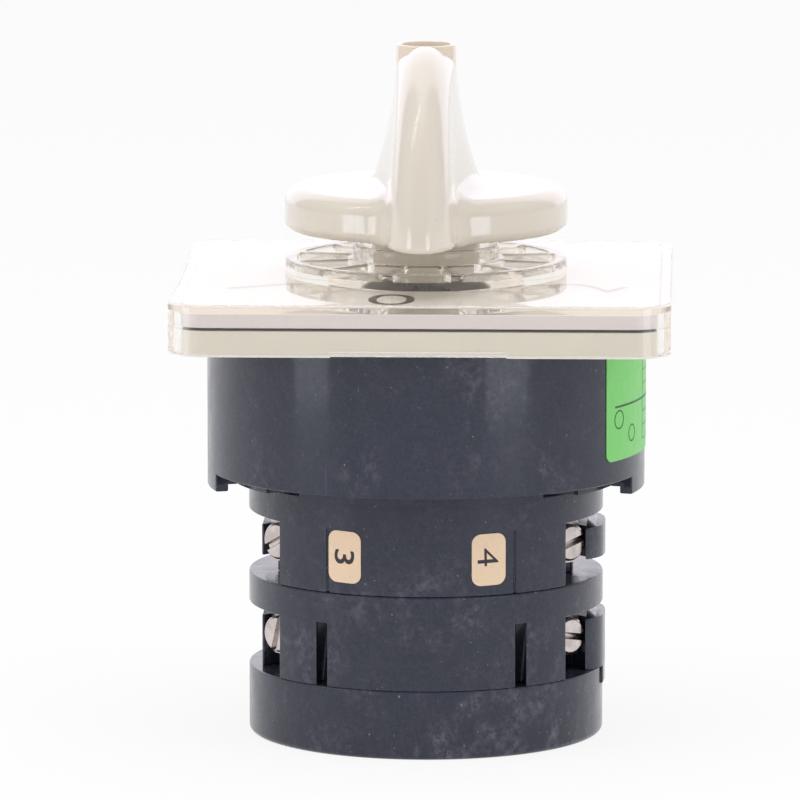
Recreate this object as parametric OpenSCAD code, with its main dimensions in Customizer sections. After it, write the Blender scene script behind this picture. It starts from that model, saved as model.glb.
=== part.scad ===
// Changeover switch: a two-stage rotary cam switch with positions 1 - 0 - 2.
// The origin is on the shaft axis at the underside of the end cap, +Z points at the handle,
// and -Y is the front, where the nose of the handle points in position 0.

/* [Contact stages] */
// Diameter of the contact stages and of the end cap
stage_d = 46.2; // [44:0.2:50]
// Height of one contact stage
stage_h = 12.25; // [11.75:0.25:15]
// Thickness of the round flange at the top of a stage
flange_t = 4; // [3.5:0.1:4.5]
// Thickness of the curved front and rear walls of a stage
stage_wall = 2; // [1.6:0.1:2.2]
// Height of the end cap
cap_h = 9; // [7.5:0.25:12]
// Radius of the rounded lower edge of the end cap
cap_edge_r = 0.8; // [0.4:0.1:1.5]
// Width of the moulded slots in the front wall of stage 2
front_slot_w = 1.4; // [1:0.1:2]
// Distance of those slots from the middle
front_slot_x = 12.8; // [12.4:0.1:14]
// Distance of the fine seams in the front wall of stage 1 from the middle
seam_x = 12; // [11:0.5:13]
// Distance that the right side barriers stand out past the stages
lug_out = 0.3; // [0.1:0.1:0.6]
// Distance that the left side barriers stay inside the edge of the stages
lug_left_in = 1.9; // [1.2:0.1:2.4]
// Half width of a side barrier at its outer end
lug_half_w = 3.1; // [2.6:0.1:4]
// Gap over the side barriers of stage 1
lug_1_top_gap = 1.8; // [1.2:0.1:2]
// Gap under the side barriers of stage 1
lug_1_foot_gap = 2.4; // [1.6:0.1:2.6]
// Gap over the side barriers of stage 2
lug_2_top_gap = 1.5; // [1:0.1:2]
// Depth that the foot of stage 2 reaches down over the cap
foot_h = 2.4; // [1.5:0.1:3.5]
// Thickness of that foot
foot_t = 1.6; // [1.2:0.1:2]

/* [Latch housing] */
// Diameter of the latch housing
housing_d = 57; // [56:0.5:60]
// Height of the latch housing above the stages
housing_h = 20; // [19:0.5:26]
// Wall of the latch housing
housing_wall = 3; // [2.4:0.1:3.2]
// Thickness of the roof of the latch housing
roof_t = 3; // [2.8:0.1:3.6]
// Height that the rim stands above the joint with stage 1
rim_lift = 1.3; // [0.6:0.1:1.4]
// Depth that the side skirts reach below that joint
skirt_drop = 0.9; // [0.5:0.1:1.4]
// Wall of the side skirts
skirt_wall = 1.7; // [1.2:0.1:2.2]
// Half angle of each side skirt, seen from the axis
skirt_half_angle = 19; // [12:1:22]
// Thickness of the base that closes the latch housing
base_t = 3; // [2.6:0.1:3.4]

/* [Front plate and cover] */
// Side of the square cover
cover_w = 64; // [63:0.5:70]
// Height of the cover
cover_h = 6.7; // [6.2:0.1:8]
// Wall of the cover
cover_wall = 1.6; // [1.2:0.1:1.8]
// Radius of the upright corners of the cover
cover_corner_r = 4.8; // [3.5:0.1:6]
// Thickness of the front plate
plate_t = 3.4; // [3:0.1:3.6]
// Thickness of the legend insert
insert_t = 1.2; // [0.8:0.1:1.4]
// Diameter of the round dial disc on the cover
dial_d = 36.6; // [34:0.2:40]
// Thickness of the dial disc
dial_t = 2.1; // [1.8:0.1:2.6]
// Outer diameter of the collar on the dial disc
collar_d = 19; // [18.4:0.2:20]
// Height of the collar above the dial disc
collar_h = 1.8; // [1.2:0.1:2]
// Number of ribs in the dial disc
dial_ribs = 12; // [8:1:16]

/* [Handle] */
// Diameter of the handle disc
disc_d = 36.8; // [35:0.2:40]
// Thickness of the handle disc
disc_t = 5.6; // [5:0.1:6.5]
// Gap between the cover and the handle disc
handle_gap = 5.9; // [5.2:0.1:7]
// Reach of the nose from the axis
nose_reach = 27; // [24:0.5:30]
// Reach of the tail from the axis
tail_reach = 17.6; // [15:0.2:18]
// Height of the grip above the underside of the disc
grip_h = 23.8; // [21:0.2:26]
// Width of the grip where it meets the disc
grip_base_w = 14.3; // [13:0.1:16]
// Width of the grip at its top
grip_top_w = 7.4; // [6.4:0.1:7.6]
// Width of the nose at its toe
nose_toe_w = 7.8; // [6:0.1:8.4]
// Width of the nose at its top
nose_top_w = 5.6; // [4:0.1:6.4]
// Length over which the nose narrows to its rounded front
nose_prow = 6; // [3:0.2:8]
// Outer diameter of the screw cup at the top of the grip
cup_d = 7.8; // [7.6:0.1:8.6]
// Bore of the screw cup
cup_bore_d = 6.4; // [6.2:0.1:6.6]
// Height of the cup rim above the top of the grip
cup_rim_h = 0.5; // [0.3:0.1:2.5]

/* [Shaft and latch] */
// Side of the square shaft
shaft_w = 6; // [5.8:0.1:6.2]
// Diameter of the round pivot at the foot of the shaft
pivot_d = 5.4; // [5:0.1:5.6]
// Diameter of the hubs that turn in the frames
hub_d = 11; // [10.4:0.2:11.4]
// Radius of the detent wheel over its crests
wheel_r = 8.6; // [8.3:0.1:8.8]
// Thickness of the detent wheel
wheel_t = 6; // [5:0.5:7]
// Depth of the notches of the detent wheel
notch_depth = 0.9; // [0.6:0.1:1]
// Diameter of the detent rollers
roller_d = 4; // [3.6:0.1:4.2]
// Angle from one position of the switch to the next
step_angle = 60; // [60]

/* [Contacts] */
// Mean radius of the cams
cam_r = 7.2; // [7:0.1:7.4]
// Thickness of the cams
cam_t = 5; // [4.4:0.1:5.4]
// Travel of a plunger over one step of the switch
stroke = 1.15; // [0.9:0.05:1.15]
// Opening of a contact in position 0
contact_gap = 1.2; // [1.2:0.05:1.4]
// Height of the contacts above the middle of their bay
contact_lift = 0.6; // [0.2:0.1:0.8]
// Thickness of the contact metal
strip_t = 0.8; // [0.6:0.1:1]
// Height of the contact metal
strip_h = 4; // [3.6:0.1:4.4]
// Height of a silver contact rivet
rivet_h = 0.6; // [0.4:0.1:0.7]
// Diameter of a silver contact rivet
rivet_d = 3; // [2.6:0.1:3.2]
// Distance of the rivets from the middle
rivet_x = 7.4; // [7.2:0.1:7.8]
// Width of a plunger
plunger_w = 5; // [4.4:0.1:5.4]
// Outer diameter of a contact spring
spring_d = 4.2; // [3.8:0.1:4.6]
// Wire of a contact spring
spring_wire = 0.5; // [0.4:0.05:0.6]

/* [Terminals and fixings] */
// Angle of a terminal screw away from the front
terminal_angle = 40; // [38:1:42]
// Distance of the terminal seat from the axis, along the screw
seat_reach = 14.6; // [14.4:0.1:15]
// Distance of the terminal screw from the axis, across the screw
seat_offset = 9.5; // [9.3:0.1:9.8]
// Diameter of a terminal screw head
screw_head_d = 4.8; // [4.4:0.1:5]
// Height of a terminal screw head
screw_head_h = 1.6; // [1.3:0.1:1.8]
// Diameter of the terminal screw shank
screw_shank_d = 3; // [2.6:0.1:3.2]
// Thickness of the spring washer under the head
spring_washer_t = 0.7; // [0.5:0.1:0.8]
// Thickness of the square clamp washer
clamp_t = 0.8; // [0.6:0.1:1]
// Side of the square clamp washer
clamp_w = 6; // [5.4:0.1:6.2]
// Distance of the tie bolts from the axis
tie_x = 12.6; // [12.4:0.1:12.8]
// Diameter of the tie bolts
tie_d = 3.5; // [3:0.1:3.6]
// Spacing of the four panel fixing holes
panel_pitch = 36; // [35.5:0.25:37]
// Diameter of the panel fixing holes
panel_hole_d = 4.3; // [3.8:0.1:4.4]

/* [Labels] */
// Thickness of the stickers and the label
label_t = 0.12; // [0.1:0.01:0.2]
// Width of a number sticker
sticker_w = 4.3; // [4:0.1:5]
// Height of a number sticker
sticker_h = 6.8; // [6:0.1:7]
// Distance of the number stickers from the middle
sticker_x = 9.3; // [9:0.1:9.6]
// Height of the side label
label_h = 15.6; // [14:0.2:16]

/* [Hidden] */
$fn = 96;
eps = 0.01;
fit_gap = 0.05;
slide_gap = 0.12;
part_gap = 0.3;
over = 1;
stage_r = stage_d / 2;
housing_r = housing_d / 2;
bay_h = stage_h - flange_t;
lug_reach = stage_r + lug_out;
lug_left_reach = stage_r - lug_left_in;
seam_w = 0.3;
seam_depth = 0.3;

stage_2_z = cap_h;
stage_1_z = stage_2_z + stage_h;
seat_z = stage_1_z + stage_h;
rim_z = seat_z + rim_lift;
skirt_z = seat_z - skirt_drop;
housing_top_z = seat_z + housing_h;
cover_top_z = housing_top_z + cover_h;
dial_top_z = cover_top_z + dial_t;
disc_z = cover_top_z + handle_gap;
disc_top_z = disc_z + disc_t;
grip_top_z = disc_z + grip_h;
cup_rim_z = grip_top_z + cup_rim_h;

pivot_z = 2.4;
end_gap = 0.2;
cavity_r = housing_r - housing_wall;
cavity_top_z = housing_top_z - roof_t;
base_r = cavity_r - fit_gap;
base_top_z = seat_z + base_t;

cover_inner_w = cover_w - 2 * cover_wall;
plate_w = cover_inner_w - 4 * fit_gap;
plate_corner_r = cover_corner_r - cover_wall;
plate_top_z = housing_top_z + plate_t;
cover_roof_t = cover_h - plate_t - insert_t - 4 * fit_gap;
insert_z = plate_top_z + 2 * fit_gap;
neck_wall = 2;
neck_d = hub_d + 2 * neck_wall;
bore_gap = 1;
plate_bore_d = neck_d + 2 * bore_gap;
recess_w = 22;
recess_h = 0.6;
recess_skin = 0.3;
pocket_rim = 1.6;
pocket_collar_gap = 0.8;
pocket_depth = 0.55 * dial_t;
rib_angle = 5;

wheel_z = base_top_z + (cavity_top_z - base_top_z - wheel_t) / 2;
notch_count = round(360 / step_angle);
roller_r = roller_d / 2;
roller_y = wheel_r + roller_r + slide_gap;
carrier_w = 8;
carrier_l = 6;
carrier_wall = 1;
carrier_h = wheel_t + 2 * carrier_wall;
carrier_y = roller_y - roller_r + carrier_wall;
roller_pin_d = 1.6;
detent_spring_d = 5;
detent_spring_wire = 0.7;
spring_seat_depth = 1.2;
guide_t = 2;
guide_back = 3;
guide_front = 0.5;

contact_z = bay_h / 2 + contact_lift;
cam_z = contact_z - cam_t / 2;
stroke_per_degree = stroke / step_angle;
cam_rise = 75;
cam_flat = 90 - cam_rise;
cam_step = 5;
cam_gap = 0.5;
cam_web = 1.4;
cam_foot_d = hub_d - 1;
cam_cavity_r = cam_r + cam_rise * stroke_per_degree + cam_gap;
strip_y = cam_cavity_r + cam_web;
fixed_face_y = strip_y + strip_t + rivet_h;
bridge_rivet_y = fixed_face_y + contact_gap;
bridge_y = bridge_rivet_y + rivet_h;
bridge_end = 0.4;
bridge_l = 2 * (rivet_x + rivet_d / 2 + bridge_end);
bridge_back_y = bridge_y + strip_t;
chamber_gap = 1.2;
chamber_x = bridge_l / 2 + chamber_gap;
chamber_r = stage_r - stage_wall;
front_slot_depth = stage_r - sqrt(pow(chamber_r, 2) - pow(front_slot_x, 2)) + over;
plunger_nose_r = 1.6;
plunger_neck_l = 1.2;
plunger_neck_lap = 0.2;
plunger_cap_t = 0.6;
cam_follow_gap = 0.15;
plunger_y = cam_r + cam_follow_gap;
plunger_h = cam_t;
contact_spring_l = sqrt(pow(chamber_r, 2) - pow(spring_d / 2, 2)) - bridge_back_y - slide_gap;
strip_z = contact_z - strip_h / 2;

bay_gap = 1.2;
bay_ledge = 2.7;
pocket_t0 = seat_offset - clamp_w / 2 - bay_gap;
pocket_t1 = seat_offset + clamp_w / 2 + part_gap;
lug_face_reach = seat_reach + bay_ledge;
lug_root_x = seat_reach * sin(terminal_angle) + pocket_t1 * cos(terminal_angle);
lug_root_w = pocket_t1 * sin(terminal_angle);
stack_reach = seat_reach + strip_t + clamp_t + spring_washer_t;
shank_into = 2;
shank_gap = 0.2;
shank_l = shank_into + strip_t + clamp_t + spring_washer_t;
strip_end = 0.3;
strip_bend = 0.5;
strip_overlap = 0.4;
strip_reach = seat_reach + strip_t / 2;
screw_slot_w = 0.8;
screw_slot_depth = 0.9;
screw_chamfer = 0.3;
washer_over = 0.3;
washer_split = 0.5;
clamp_corner_r = 0.8;

tie_head_d = 6;
tie_head_h = 2.2;
tie_head_z = 1.6;
tie_hole_d = tie_d + 4 * fit_gap;
nut_af = 5.5;
nut_t = 2;
tie_slot = 1;
nut_z = housing_top_z - nut_t - end_gap;
boss_r = 3;
panel_boss_wall = 0.9;
panel_boss_r = panel_hole_d / 2 + panel_boss_wall;

shaft_into_grip = 7;
cup_floor_t = 1.6;
shaft_top_z = disc_top_z + shaft_into_grip;
screw_seat_z = shaft_top_z + cup_floor_t;
handle_screw_d = 4;
handle_screw_l = 9;
handle_screw_head_h = 2.2;
handle_screw_slot = 1;
square_gap = 0.06;
clip_t = 0.8;
clip_slot = 1.6;

grip_sink = 0.6;
ellipse_z = disc_z - grip_sink;
ridge_half_l = 4;
front_y = -ridge_half_l;
rear_y = ridge_half_l;
tail_extra = 0.8;
ridge_round = 1;
flare_power = 1.9;
grip_levels = 9;
grip_stations = 8;
disc_bevel = 1.2;
disc_edge_r = disc_t * 0.42;

sticker_lift = 0.7;
sticker_corner_r = 0.9;
label_corner_r = 1.5;
label_front_angle = 56;
label_back_angle = 140;
label_top_gap = 0.2;

// Helpers

// Copies at the four terminals, drawn for the front right one
module at_terminals() {
    for (side_x = [0, 1], side_y = [0, 1])
        mirror([side_x, 0, 0]) mirror([0, side_y, 0]) children();
}

// Plan frame of a terminal: +X runs along the screw away from the axis, +Y across it
module terminal_frame() {
    rotate([0, 0, terminal_angle - 90]) children();
}

// Turns what is drawn for the front into the rear one
module to_side(rear) {
    rotate([0, 0, rear ? 180 : 0]) children();
}

// Square with rounded corners, centred
module rounded_square(w, r) {
    for (turn = [0, 90]) rotate([0, 0, turn]) square([w, w - 2 * r], center = true);
    for (x = [-1, 1], y = [-1, 1]) translate([x * (w / 2 - r), y * (w / 2 - r)]) circle(r);
}

// Rectangle with rounded corners, centred
module rounded_plate(w, h, r) {
    square([w, h - 2 * r], center = true);
    square([w - 2 * r, h], center = true);
    for (x = [-1, 1], y = [-1, 1]) translate([x * (w / 2 - r), y * (h / 2 - r)]) circle(r);
}

// Metal strip of one thickness along a line of points in plan
module strip_line(points, t) {
    for (i = [0 : len(points) - 2]) {
        run = points[i + 1] - points[i];
        translate(points[i]) rotate([0, 0, atan2(run[1], run[0])])
            translate([0, -t / 2]) square([norm(run), t]);
    }
    for (i = [1 : len(points) - 2]) translate(points[i]) circle(t / 2);
}

// Coil spring along +Z, as one tube swept round its helix
module coil_spring(d, wire, length, turns) {
    steps_per_turn = 12;
    sides = 6;
    rings = round(turns * steps_per_turn);
    coil_r = (d - wire) / 2;
    lift = (length - wire) / rings;
    points = [for (i = [0 : rings], j = [0 : sides - 1])
        let (a = i * 360 / steps_per_turn, b = j * 360 / sides,
            r = coil_r + wire / 2 * cos(b))
        [r * cos(a), r * sin(a), wire / 2 + i * lift + wire / 2 * sin(b)]];
    wall = [for (i = [0 : rings - 1], j = [0 : sides - 1])
        let (k = (j + 1) % sides, p = i * sides, q = (i + 1) * sides)
        each [[p + j, q + j, p + k], [p + k, q + j, q + k]]];
    start = [for (j = [0 : sides - 1]) j];
    finish = [for (j = [sides - 1 : -1 : 0]) rings * sides + j];
    polyhedron(points, concat(wall, [start, finish]));
}

// End cap

module end_cap() {
    color([0.2, 0.21, 0.24]) difference() {
        rotate_extrude() {
            square([stage_r - cap_edge_r, cap_h]);
            translate([0, cap_edge_r]) square([stage_r, cap_h - cap_edge_r]);
            translate([stage_r - cap_edge_r, cap_edge_r]) circle(cap_edge_r);
        }
        translate([0, 0, pivot_z]) cylinder(d = pivot_d + 2 * fit_gap, h = cap_h);
        tie_holes(-eps, cap_h + eps);
        for (x = [-1, 1]) translate([x * tie_x, 0, -eps])
            cylinder(d = tie_head_d + 2 * part_gap, h = tie_head_z + tie_head_h + eps);
        translate([lug_reach - foot_t - slide_gap, -lug_half_w - slide_gap,
            cap_h - foot_h - slide_gap])
            cube([foot_t + over, 2 * (lug_half_w + slide_gap), foot_h + slide_gap + eps]);
    }
}

module tie_holes(z0, z1) {
    for (x = [-1, 1]) translate([x * tie_x, 0, z0]) cylinder(d = tie_hole_d, h = z1 - z0);
}

// Contact stages

// Open space inside the contact chamber at the front, in plan
module chamber_plan() {
    intersection() {
        circle(chamber_r);
        translate([-chamber_x, -stage_r])
            square([2 * chamber_x, stage_r - strip_y + 2 * fit_gap]);
    }
    translate([-plunger_w / 2 - slide_gap, -strip_y - over])
        square([plunger_w + 2 * slide_gap, strip_y + over - cam_cavity_r / 2]);
}

// Route of one fixed contact in plan, for the front right terminal
function along(n, t) = [n * sin(terminal_angle) + t * cos(terminal_angle),
    -n * cos(terminal_angle) + t * sin(terminal_angle)];
contact_route = [[rivet_x - rivet_d / 2 - strip_end, -strip_y - strip_t / 2],
    [rivet_x + rivet_d / 2 + strip_bend, -strip_y - strip_t / 2],
    along(strip_reach, seat_offset - clamp_w / 2 - strip_overlap),
    along(strip_reach, seat_offset + clamp_w / 2)];

module contact_slot_plan() {
    strip_line(contact_route, strip_t + 4 * fit_gap);
}

// Open side bay of one terminal in plan
module pocket_plan() {
    terminal_frame() {
        translate([seat_reach, pocket_t0]) square([stage_r, pocket_t1 - pocket_t0]);
        translate([lug_face_reach, pocket_t0]) square([stage_r, stage_r]);
    }
}

// Body that both stages share, from the bottom up to the flange
module stage_body() {
    difference() {
        union() {
            cylinder(r = stage_r, h = stage_h);
            intersection() {
                cylinder(r = lug_reach, h = bay_h);
                translate([0, -lug_root_w, 0]) cube([lug_reach, 2 * lug_root_w, bay_h]);
            }
        }
        translate([0, 0, -eps]) {
            cylinder(r = cam_cavity_r, h = bay_h + eps);
            for (rear = [false, true]) to_side(rear)
                linear_extrude(bay_h + eps) chamber_plan();
            at_terminals() linear_extrude(bay_h + eps) pocket_plan();
            at_terminals() linear_extrude(strip_z + strip_h + 2 * fit_gap)
                contact_slot_plan();
        }
        cylinder(d = hub_d + 2 * fit_gap, h = stage_h + eps);
        tie_holes(-eps, stage_h + eps);
        at_terminals() screw_shank_hole();
    }
}

module screw_shank_hole() {
    terminal_frame() translate([seat_reach - shank_into - shank_gap, seat_offset, contact_z])
        rotate([0, 90, 0])
            cylinder(d = screw_shank_d + 2 * shank_gap, h = shank_into + shank_gap + eps);
}

module stage_1_frame() {
    color([0.2, 0.21, 0.24]) translate([0, 0, stage_1_z]) difference() {
        stage_body();
        for (x = [-1, 1]) translate([x * seam_x - seam_w / 2, -stage_r, -eps])
            cube([seam_w, stage_r - sqrt(pow(stage_r, 2) - pow(seam_x, 2)) + seam_depth,
                bay_h + eps]);
        lug_cuts(bay_h - lug_1_top_gap, lug_1_top_gap);
        lug_cuts(-eps, lug_1_foot_gap + eps);
    }
}

module stage_2_frame() {
    color([0.2, 0.21, 0.24]) translate([0, 0, stage_2_z]) {
        difference() {
            stage_body();
            for (x = [-1, 1]) translate([x * front_slot_x - front_slot_w / 2, -stage_r, -eps])
                cube([front_slot_w, front_slot_depth, bay_h + eps]);
            lug_cuts(bay_h - lug_2_top_gap, lug_2_top_gap);
        }
        intersection() {
            translate([0, 0, -foot_h]) cylinder(r = lug_reach, h = foot_h + over);
            translate([lug_reach - foot_t, -lug_half_w, -foot_h])
                cube([foot_t, 2 * lug_half_w, foot_h + over]);
        }
    }
}

// Space over or under the side barriers, and the part that the left ones lack
module lug_cuts(z, h) {
    for (x = [-1, 1]) translate([x * (lug_root_x + stage_r / 2), 0, z + h / 2])
        cube([stage_r, 2 * lug_root_w, h], center = true);
    translate([-lug_left_reach - stage_r, -lug_root_w, -eps])
        cube([stage_r, 2 * lug_root_w, bay_h + eps]);
}

// Latch housing

module latch_base() {
    color([0.23, 0.24, 0.27]) difference() {
        union() {
            translate([0, 0, seat_z]) cylinder(r = base_r, h = base_t);
            for (rear = [false, true]) to_side(rear) detent_guides();
        }
        translate([0, 0, seat_z - eps]) cylinder(d = hub_d + 2 * fit_gap, h = base_t + 2 * eps);
        tie_holes(seat_z - eps, base_top_z + eps);
        for (x = [-1, 1], y = [-1, 1])
            translate([x * panel_pitch / 2, y * panel_pitch / 2, seat_z - eps])
                cylinder(r = panel_boss_r + fit_gap, h = base_t + 2 * eps);
    }
}

// Pair of ribs on the base that guide one detent carrier
module detent_guides() {
    for (x = [-1, 1]) translate([x * (carrier_w / 2 + slide_gap + guide_t / 2), 0, 0])
        translate([-guide_t / 2, -carrier_y - carrier_l - guide_back, base_top_z - eps])
            cube([guide_t, carrier_l + guide_back - guide_front, carrier_h]);
}

module latch_housing() {
    color([0.21, 0.22, 0.25]) difference() {
        union() {
            difference() {
                translate([0, 0, skirt_z])
                    cylinder(r = housing_r, h = housing_top_z - skirt_z);
                translate([0, 0, skirt_z - eps])
                    cylinder(r = cavity_r, h = cavity_top_z - skirt_z + eps);
            }
            for (x = [-1, 1]) translate([x * tie_x, 0, base_top_z])
                cylinder(r = boss_r, h = cavity_top_z - base_top_z + roof_t / 2);
            intersection() {
                translate([0, 0, skirt_z])
                    cylinder(r = housing_r - housing_wall / 2, h = cavity_top_z - skirt_z + over);
                for (x = [-1, 1], y = [-1, 1])
                    translate([x * panel_pitch / 2, y * panel_pitch / 2, skirt_z])
                        cylinder(r = panel_boss_r, h = cavity_top_z - skirt_z + over);
            }
        }
        rim_cuts();
        translate([0, 0, cavity_top_z - eps])
            cylinder(d = neck_d + 2 * fit_gap, h = roof_t + 2 * eps);
        tie_holes(base_top_z - eps, housing_top_z + eps);
        for (x = [-1, 1]) translate([x * tie_x, 0, nut_z])
            cylinder(d = (nut_af + 4 * fit_gap) / cos(30), h = nut_t + over, $fn = 6);
        panel_holes(rim_z - eps, housing_top_z + eps);
    }
}

// Leaves the side skirts standing below the rim, thin at their feet
module rim_cuts() {
    for (turn = [0, 180])
        translate([0, 0, skirt_z - over]) rotate([0, 0, turn + skirt_half_angle])
            rotate_extrude(angle = 180 - 2 * skirt_half_angle)
                translate([cavity_r / 2, 0]) square([housing_r, rim_z - skirt_z + over]);
    translate([0, 0, skirt_z - over])
        cylinder(r = housing_r - skirt_wall, h = skirt_drop + over);
}

module panel_holes(z0, z1) {
    for (x = [-1, 1], y = [-1, 1])
        translate([x * panel_pitch / 2, y * panel_pitch / 2, z0])
            cylinder(d = panel_hole_d, h = z1 - z0);
}

// Front plate, legend and cover

module front_plate() {
    color([0.86, 0.84, 0.78]) translate([0, 0, housing_top_z]) difference() {
        linear_extrude(plate_t) rounded_square(plate_w, plate_corner_r);
        translate([0, 0, -eps]) cylinder(d = plate_bore_d, h = plate_t + 2 * eps);
        tie_holes(-eps, over);
    }
}

module legend_insert() {
    color([0.72, 0.72, 0.74]) translate([0, 0, insert_z]) difference() {
        linear_extrude(insert_t) rounded_square(plate_w, plate_corner_r);
        translate([0, 0, -eps]) cylinder(d = plate_bore_d, h = insert_t + 2 * eps);
    }
}

module clear_cover() {
    color([0.9, 0.93, 0.95, 0.5]) difference() {
        union() {
            translate([0, 0, housing_top_z]) linear_extrude(cover_h)
                rounded_square(cover_w, cover_corner_r);
            translate([0, 0, cover_top_z - eps]) cylinder(d = dial_d, h = dial_t + eps);
            translate([0, 0, dial_top_z - eps]) cylinder(d = collar_d, h = collar_h + eps);
        }
        translate([0, 0, housing_top_z - eps])
            linear_extrude(cover_h - cover_roof_t + eps)
                rounded_square(cover_inner_w, plate_corner_r);
        translate([0, 0, cover_top_z - cover_roof_t - eps])
            cylinder(d = plate_bore_d, h = cover_roof_t + dial_t + collar_h + over);
        dial_pockets();
        pry_recess();
    }
}

// Ring of pockets moulded into the top of the dial disc, with ribs between them
module dial_pockets() {
    pocket_r0 = collar_d / 2 + pocket_collar_gap;
    pocket_r1 = dial_d / 2 - pocket_rim;
    pitch = 360 / dial_ribs;
    for (i = [0 : dial_ribs - 1]) rotate([0, 0, (i + 0.5) * pitch + rib_angle / 2])
        translate([0, 0, dial_top_z - pocket_depth])
            rotate_extrude(angle = pitch - rib_angle)
                translate([pocket_r0, 0]) square([pocket_r1 - pocket_r0, dial_t]);
}

// Low recess in the front edge where the cover is levered off
module pry_recess() {
    translate([-recess_w / 2, -cover_w / 2 - over, housing_top_z - eps])
        cube([recess_w, cover_wall + over - recess_skin, recess_h + eps]);
}

// Labels

module rating_label() {
    label_start_y = -housing_r * cos(label_front_angle);
    label_w = -housing_r * cos(label_back_angle) - label_start_y;
    color([0.45, 0.82, 0.4]) intersection() {
        difference() {
            translate([0, 0, rim_z]) cylinder(r = housing_r + label_t, h = housing_top_z - rim_z);
            translate([0, 0, rim_z - over]) cylinder(r = housing_r, h = housing_h + 2 * over);
        }
        translate([0, label_start_y + label_w / 2, housing_top_z - label_top_gap - label_h / 2])
            rotate([90, 0, 90]) linear_extrude(housing_r + over)
                rounded_plate(label_w, label_h, label_corner_r);
    }
}

module number_stickers() {
    color([0.9, 0.83, 0.68]) intersection() {
        difference() {
            translate([0, 0, stage_1_z]) cylinder(r = stage_r + label_t, h = stage_h);
            translate([0, 0, stage_1_z - over]) cylinder(r = stage_r, h = stage_h + 2 * over);
        }
        for (x = [-1, 1])
            translate([x * sticker_x, 0, stage_1_z + bay_h / 2 + sticker_lift])
                rotate([90, 0, 0]) linear_extrude(stage_r + over)
                    rounded_plate(sticker_w, sticker_h, sticker_corner_r);
    }
}

// Tie bolts

module tie_bolts() {
    color([0.7, 0.7, 0.72]) for (x = [-1, 1]) translate([x * tie_x, 0, 0]) difference() {
        union() {
            translate([0, 0, tie_head_z]) cylinder(d = tie_head_d, h = tie_head_h);
            translate([0, 0, tie_head_z]) cylinder(d = tie_d, h = nut_z + nut_t - tie_head_z);
        }
        translate([-tie_head_d, -tie_slot / 2, tie_head_z - eps])
            cube([2 * tie_head_d, tie_slot, tie_slot]);
    }
}

module tie_nuts() {
    color([0.7, 0.7, 0.72]) for (x = [-1, 1]) translate([x * tie_x, 0, nut_z]) difference() {
        cylinder(d = nut_af / cos(30), h = nut_t, $fn = 6);
        translate([0, 0, -eps]) cylinder(d = tie_d + 2 * fit_gap, h = nut_t + 2 * eps);
    }
}

// Fixed contacts and terminals

module fixed_contacts(z) {
    color([0.8, 0.65, 0.35]) at_terminals() {
        difference() {
            translate([0, 0, z + strip_z]) linear_extrude(strip_h)
                strip_line(contact_route, strip_t);
            on_screw_axis(z, seat_reach - over)
                cylinder(d = screw_shank_d + 2 * fit_gap, h = strip_t + 2 * over);
        }
        translate([rivet_x, -strip_y - strip_t + eps, z + contact_z]) rotate([90, 0, 0])
            cylinder(d = rivet_d, h = rivet_h + eps);
    }
}

module fixed_contacts_1() { fixed_contacts(stage_1_z); }
module fixed_contacts_2() { fixed_contacts(stage_2_z); }

// Turns +Z to the axis of a terminal screw and moves to its place
module on_screw_axis(z, n) {
    terminal_frame() translate([n, seat_offset, z + contact_z]) rotate([0, 90, 0]) children();
}

// Slotted cheese head screws; every slot stands at its own angle
module terminal_screws(z, slot_angles) {
    color([0.78, 0.76, 0.74]) for (i = [0 : 3])
        mirror([i % 2, 0, 0]) mirror([0, i > 1 ? 1 : 0, 0])
            on_screw_axis(z, stack_reach) difference() {
                union() {
                    cylinder(d = screw_head_d, h = screw_head_h - screw_chamfer);
                    translate([0, 0, screw_head_h - screw_chamfer - eps])
                        cylinder(d1 = screw_head_d, d2 = screw_head_d - 2 * screw_chamfer,
                            h = screw_chamfer + eps);
                    translate([0, 0, -shank_l]) cylinder(d = screw_shank_d, h = shank_l + eps);
                }
                rotate([0, 0, slot_angles[i]])
                    translate([-screw_head_d, -screw_slot_w / 2, screw_head_h - screw_slot_depth])
                        cube([2 * screw_head_d, screw_slot_w, screw_slot_depth + over]);
            }
}

module terminal_screws_1() { terminal_screws(stage_1_z, [105, 62, 20, 140]); }
module terminal_screws_2() { terminal_screws(stage_2_z, [80, 15, 50, 120]); }

module spring_washers() {
    color([0.6, 0.6, 0.62]) for (z = [stage_1_z, stage_2_z]) at_terminals()
        on_screw_axis(z, stack_reach - spring_washer_t) difference() {
            cylinder(d = screw_head_d + 2 * washer_over, h = spring_washer_t);
            translate([0, 0, -eps])
                cylinder(d = screw_shank_d + 4 * fit_gap, h = spring_washer_t + 2 * eps);
            rotate([0, 0, 30]) translate([0, -washer_split / 2, -eps])
                cube([screw_head_d, washer_split, spring_washer_t + 2 * eps]);
        }
}

module clamp_washers() {
    color([0.8, 0.78, 0.72]) for (z = [stage_1_z, stage_2_z]) at_terminals()
        on_screw_axis(z, seat_reach + strip_t) difference() {
            linear_extrude(clamp_t) rounded_square(clamp_w, clamp_corner_r);
            translate([0, 0, -eps])
                cylinder(d = screw_shank_d + 4 * fit_gap, h = clamp_t + 2 * eps);
        }
}

// Handle

// How far the outline of the grip is from its centre line, as a share of its full reach
function outline(z) = sqrt(max(0, 1 - pow((z - ellipse_z) / (grip_top_z - ellipse_z), 2)));
function grip_end_y(z, rear) = rear
    ? rear_y + (tail_reach - rear_y) * outline(z)
    : front_y - (nose_reach + front_y) * outline(z);
function grip_top(y) = y < front_y
    ? ellipse_z + (grip_top_z - ellipse_z) * sqrt(1 - pow((front_y - y) / (nose_reach + front_y), 2))
    : y > rear_y
    ? ellipse_z + (grip_top_z - ellipse_z) * sqrt(1 - pow((y - rear_y) / (tail_reach - rear_y), 2))
    : grip_top_z;

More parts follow.
